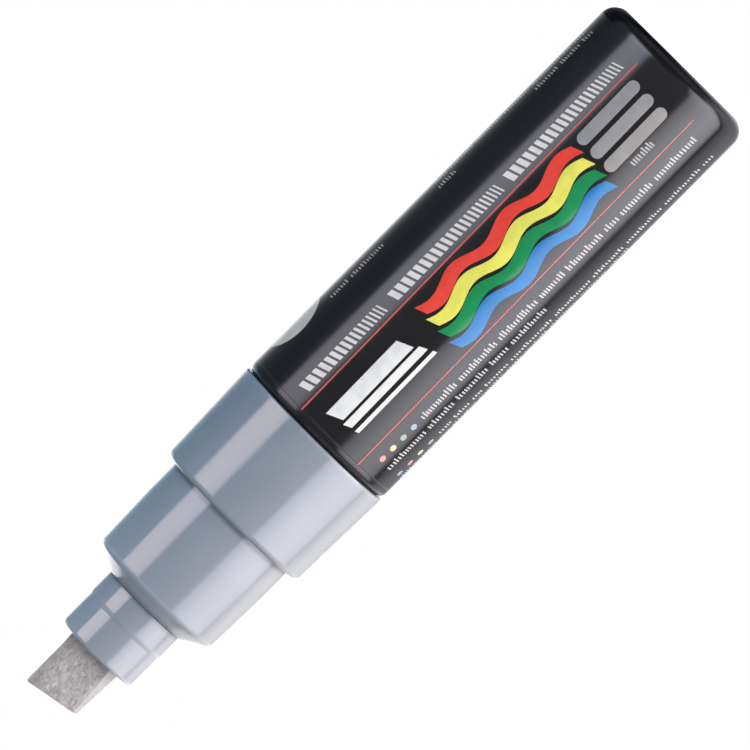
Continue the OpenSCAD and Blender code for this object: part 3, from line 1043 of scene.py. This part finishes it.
class MouldingsOperator(bpy.types.Operator):
    """Gives the barrel, the front section and the nib holder their moulded finish"""
    bl_idname = "paint_marker.mouldings"
    bl_label = "Mouldings"

    def execute(self, context):
        finish = context.scene.marker_finish
        tail_edge = 0.0008
        mouth = FILM_TOP.z + 0.0009
        barrel = gloss_plastic(
            "barrel_gloss", finish.barrel, (0.05, 0.05, 0.055), roughness=0.15, ior=1.5,
            grooves=(FILM_TOP.z,), edges=(tail_edge, mouth),
        )
        dress("barrel", barrel)
        worn = scaled(finish.moulding, 1.5)
        front = gloss_plastic(
            "front_moulding", finish.moulding, worn, roughness=0.12, ior=1.7,
            edges=(COLLAR_REAR, COLLAR_FRONT, SEAT_FRONT, FRONT_TOP.z),
            # corners: painted shade on the seat ahead of the collar and where the holder leaves the front
            # section
            corners=((COLLAR_FRONT + 0.0004, 0.55), (FRONT_TOP.z, 0.5)),
        )
        dress("front_section", front)
        holder = gloss_plastic(
            "holder_moulding", finish.moulding, worn, roughness=0.12, ior=1.7,
            # corners: painted shade where the holder leaves the front section
            edges=(HOLDER_STEP, HOLDER_TOP.z - 0.0003), corners=((FRONT_TOP.z, 0.5),),
        )
        dress("nib_holder", holder)
        return {"FINISHED"}


class LabelOperator(bpy.types.Operator):
    """Gives the film its finish and lays the print on it"""
    bl_idname = "paint_marker.label"
    bl_label = "Printed film"

    def execute(self, context):
        finish = context.scene.marker_finish
        sizes = context.scene.marker_print
        film = gloss_plastic(
            "film_gloss", finish.film, (0.06, 0.06, 0.066), roughness=0.15, ior=1.5,
            grooves=(FILM_TOP.z,), edges=(FILM_TOP.z,),
        )
        dress("label_film", film)
        margin = 0.0001
        lap = []
        for arc in LAP:
            behind = FILM_R * math.pi + arc * MM
            lap.append([(behind, FILM_LOW.z + margin), (behind, FILM_TOP.z - margin)])
        bm = bmesh.new()
        plate(bm, lap, 0.00004, PLATE_SUNK)
        new_piece("film_lap", bm, [film], "body")
        rule_length = FILM_TOP.z - FILM_LOW.z - margin
        rule_middle = (FILM_TOP.z + FILM_LOW.z) / 2
        rules = [
            slant_bar(arc * MM, rule_middle, sizes.rule_width * share, rule_length, 0, 2)
            for arc, share in RULES
        ]
        print_piece(context, "print_rules", sizes.rule, rules)
        print_piece(context, "print_line_gauge", sizes.gauge, line_gauge())
        print_piece(context, "print_broad_strokes", sizes.white, broad_strokes())
        start, end = (z * MM for z in WAVE_ENDS)
        for i, name in enumerate(("red", "yellow", "green", "blue")):
            colour = getattr(sizes, name)
            arc = (FIRST_WAVE - WAVE_STEP * i) * MM
            grid = pen_wave(
                arc, start, end, sizes.wave_width, sizes.wave_swing, sizes.wave_length, pen_angle=0.35
            )
            print_piece(context, "print_wave_" + name, colour, [grid])
            pale = washed(colour, sizes.dot_strength)
            print_piece(context, "print_dots_" + name, pale, colour_dots(i))
        chips = [
            round_bar(arc * MM, CHIP_MIDDLE * MM, sizes.chip_width, CHIP_LENGTH * MM)
            for arc in CHIPS
        ]
        print_piece(context, "print_chips", sizes.chip, chips)
        arc, height = (here * MM for here in DISC)
        disc = round_bar(arc, height, sizes.disc_width, sizes.disc_width, 32)
        print_piece(context, "print_disc", sizes.disc, [disc])
        near = stroke_rows(sizes.stroke_width, KEY_SIDE_ROWS, 7)
        print_piece(context, "print_stroke_rows", sizes.pale, near)
        # The far rows use the lighter copy of the ink, painted light for the side away from the key
        far = stroke_rows(sizes.stroke_width, FAR_SIDE_ROWS, 8)
        print_piece(context, "print_stroke_rows_far", sizes.far_pale, far)
        return {"FINISHED"}


class NibOperator(bpy.types.Operator):
    """Makes the felt nib and the loose fibres on it"""
    bl_idname = "paint_marker.nib"
    bl_label = "Felt nib"

    def execute(self, context):
        finish = context.scene.marker_finish
        sizes = context.scene.marker_nib
        dark = scaled(finish.felt, 0.36)
        light = scaled(finish.felt, 1.6)
        bm = felt_mesh(sizes)
        roughen(bm, sizes.grain)
        fibres = loose_fibres(bm, sizes)
        body = felt("felt_body", finish.felt, dark, light)
        new_piece("nib_felt", bm, [body], "nib_stroke", ["nib"])
        tones = [
            felt("fibre_light", scaled(finish.felt, 1.17), finish.felt, light),
            felt("fibre_mid", finish.felt, dark, light),
            felt("fibre_dark", scaled(finish.felt, 0.78), dark, finish.felt),
        ]
        new_piece("nib_fibres", fibres, tones, "nib_stroke")
        return {"FINISHED"}


class ValveOperator(bpy.types.Operator):
    """Gives the pieces inside their finish and winds the spring"""
    bl_idname = "paint_marker.valve"
    bl_label = "Valve and ball"

    def execute(self, context):
        finish = context.scene.marker_finish
        plain = natural_plastic("valve_plastic", finish.valve)
        for name in ("valve_body", "valve_stem", "spring_cup"):
            dress(name, plain)
        soft = rubber("seal_rubber_skin", finish.rubber)
        for name in ("barrel_seal", "valve_gasket"):
            dress(name, soft)
        dress("mixing_ball", steel("ball_polish", finish.ball, 0.08, 0.2, 1500.0))
        wire = steel("drawn_wire", finish.wire, 0.25, 0.4, 2600.0)
        coil = new_piece("spring_coil", spring(), [wire], "body", ["valve_spring"])
        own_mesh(coil)
        return {"FINISHED"}


class StudioOperator(bpy.types.Operator):
    """Sets the camera, the room, the floor, the tent that the gloss reflects and the lamps"""
    bl_idname = "paint_marker.studio"
    bl_label = "Studio"

    def execute(self, context):
        studio = context.scene.marker_studio
        context.scene.view_settings.view_transform = "Standard"
        place_camera(context, studio)
        light_room(context, studio)
        lay_floor()
        put_up_tent(studio.tent_light)
        for name, *shape in LAMPS:
            hang_lamp(context, name + "_lamp", getattr(studio, name + "_light"), *shape)
        return {"FINISHED"}


OPERATORS = (MouldingsOperator, LabelOperator, NibOperator, ValveOperator, StudioOperator)
SETTINGS = {
    "marker_finish": MarkerFinish,
    "marker_print": MarkerPrint,
    "marker_nib": MarkerNib,
    "marker_studio": MarkerStudio,
}


class MarkerPanel(bpy.types.Panel):
    """Lists the marker's pieces and the studio"""
    bl_idname = "VIEW3D_PT_paint_marker"
    bl_label = "Paint marker"
    bl_space_type = "VIEW_3D"
    bl_region_type = "UI"
    bl_category = "Marker"

    def draw(self, context):
        for operator in OPERATORS:
            self.layout.operator(operator.bl_idname)
        for settings in SETTINGS:
            group = getattr(context.scene, settings)
            box = self.layout.box()
            for name in group.bl_rna.properties.keys():
                if name not in ("rna_type", "name"):
                    box.prop(group, name)


CLASSES = (*SETTINGS.values(), *OPERATORS, MarkerPanel)


def register():
    for kind in CLASSES:
        bpy.utils.register_class(kind)
    for name, kind in SETTINGS.items():
        setattr(bpy.types.Scene, name, PointerProperty(type=kind))


def unregister():
    for name in SETTINGS:
        delattr(bpy.types.Scene, name)
    for kind in reversed(CLASSES):
        bpy.utils.unregister_class(kind)


def main():
    register()
    bpy.ops.paint_marker.mouldings()
    bpy.ops.paint_marker.label()
    bpy.ops.paint_marker.nib()
    bpy.ops.paint_marker.valve()
    bpy.ops.paint_marker.studio()


if __name__ == "__main__":
    main()
